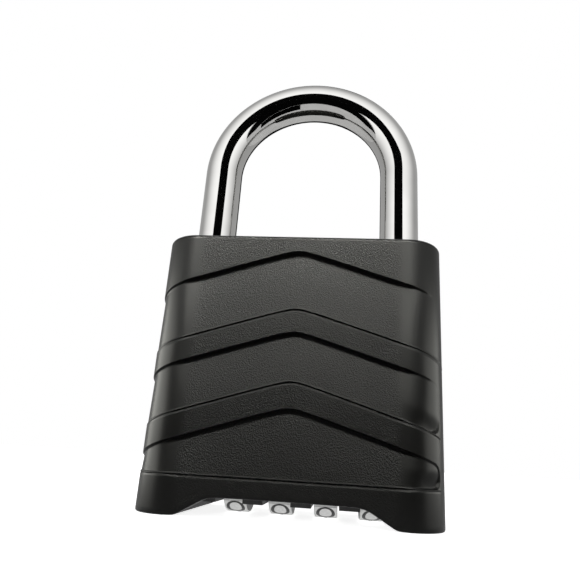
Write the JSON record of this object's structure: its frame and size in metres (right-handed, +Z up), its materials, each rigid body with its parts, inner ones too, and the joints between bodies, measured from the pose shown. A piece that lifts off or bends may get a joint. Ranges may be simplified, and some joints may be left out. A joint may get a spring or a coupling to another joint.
{
  "type": "luggage combination padlock",
  "caption": "Combination padlock with a polished round shackle, ribbed black body with chevron panels, and number dials set between two feet in its underside.",
  "frame": {"origin": "on the resting plane under the middle of the body, between the two feet", "axes": "+X to the right seen from the front, +Y towards the back, +Z up along the shackle's legs"},
  "size_m": [0.053, 0.0264, 0.094],
  "materials": {
    "black_paint": "fine stippled satin black",
    "black_plate": "satin black",
    "zinc_casting": "as-cast zinc alloy",
    "chrome_bar": "polished",
    "black_nylon": "moulded",
    "plain_steel": "machined",
    "spring_steel": "bright",
    "bronze_bush": "sintered",
    "hub_brass": "machined",
    "dial_silver": "satin plated",
    "dark_screws": "black oxide"
  },
  "bodies": {
    "body": {"front_shell": "black_paint", "rear_shell": "black_paint", "upper_block": "zinc_casting", "dial_carriage": "zinc_casting", "dial_plate": "black_plate", "heel_bush": "black_nylon", "toe_bush": "black_nylon", "retaining_pin": "plain_steel", "spindle_bush": "bronze_bush", "spindle_spring": "spring_steel", "spring_cap": "plain_steel", "detent_leaf": "spring_steel", "shell_screws": "dark_screws", "core_screws": "plain_steel", "plate_screws": "dark_screws", "leaf_screws": "plain_steel"},
    "shackle": {"shackle": "chrome_bar"},
    "spindle": {"spindle": "plain_steel", "cam_follower": "plain_steel", "spindle_clip": "plain_steel"},
    "dial_1": {"dial_1": "dial_silver", "hub_1": "hub_brass"},
    "dial_2": {"dial_2": "dial_silver", "hub_2": "hub_brass"},
    "dial_3": {"dial_3": "dial_silver", "hub_3": "hub_brass"},
    "dial_4": {"dial_4": "dial_silver", "hub_4": "hub_brass"}
  },
  "joints": [
    {"name": "shackle_lift", "type": "slide", "parent": "body", "child": "shackle", "axis": [0, 0, 1], "range_m": [0, 0.009]},
    {"name": "spindle_slide", "type": "slide", "parent": "body", "child": "spindle", "axis": [1, 0, 0], "range_m": [0, 0.002], "deforming": ["spindle_spring"]},
    {"name": "dial_1_turn", "type": "hinge", "parent": "body", "child": "dial_1", "pos_m": [-0.0095, 0, 0.0082], "axis": [1, 0, 0], "continuous": true, "deforming": ["detent_leaf"]},
    {"name": "dial_2_turn", "type": "hinge", "parent": "body", "child": "dial_2", "pos_m": [-0.0015, 0, 0.0082], "axis": [1, 0, 0], "continuous": true},
    {"name": "dial_3_turn", "type": "hinge", "parent": "body", "child": "dial_3", "pos_m": [0.0065, 0, 0.0082], "axis": [1, 0, 0], "continuous": true},
    {"name": "dial_4_turn", "type": "hinge", "parent": "body", "child": "dial_4", "pos_m": [0.0145, 0, 0.0082], "axis": [1, 0, 0], "continuous": true}
  ],
  "couplings": [
    {"joint": "spindle_slide", "follows": "shackle_lift", "ratio": 0.22222}
  ]
}
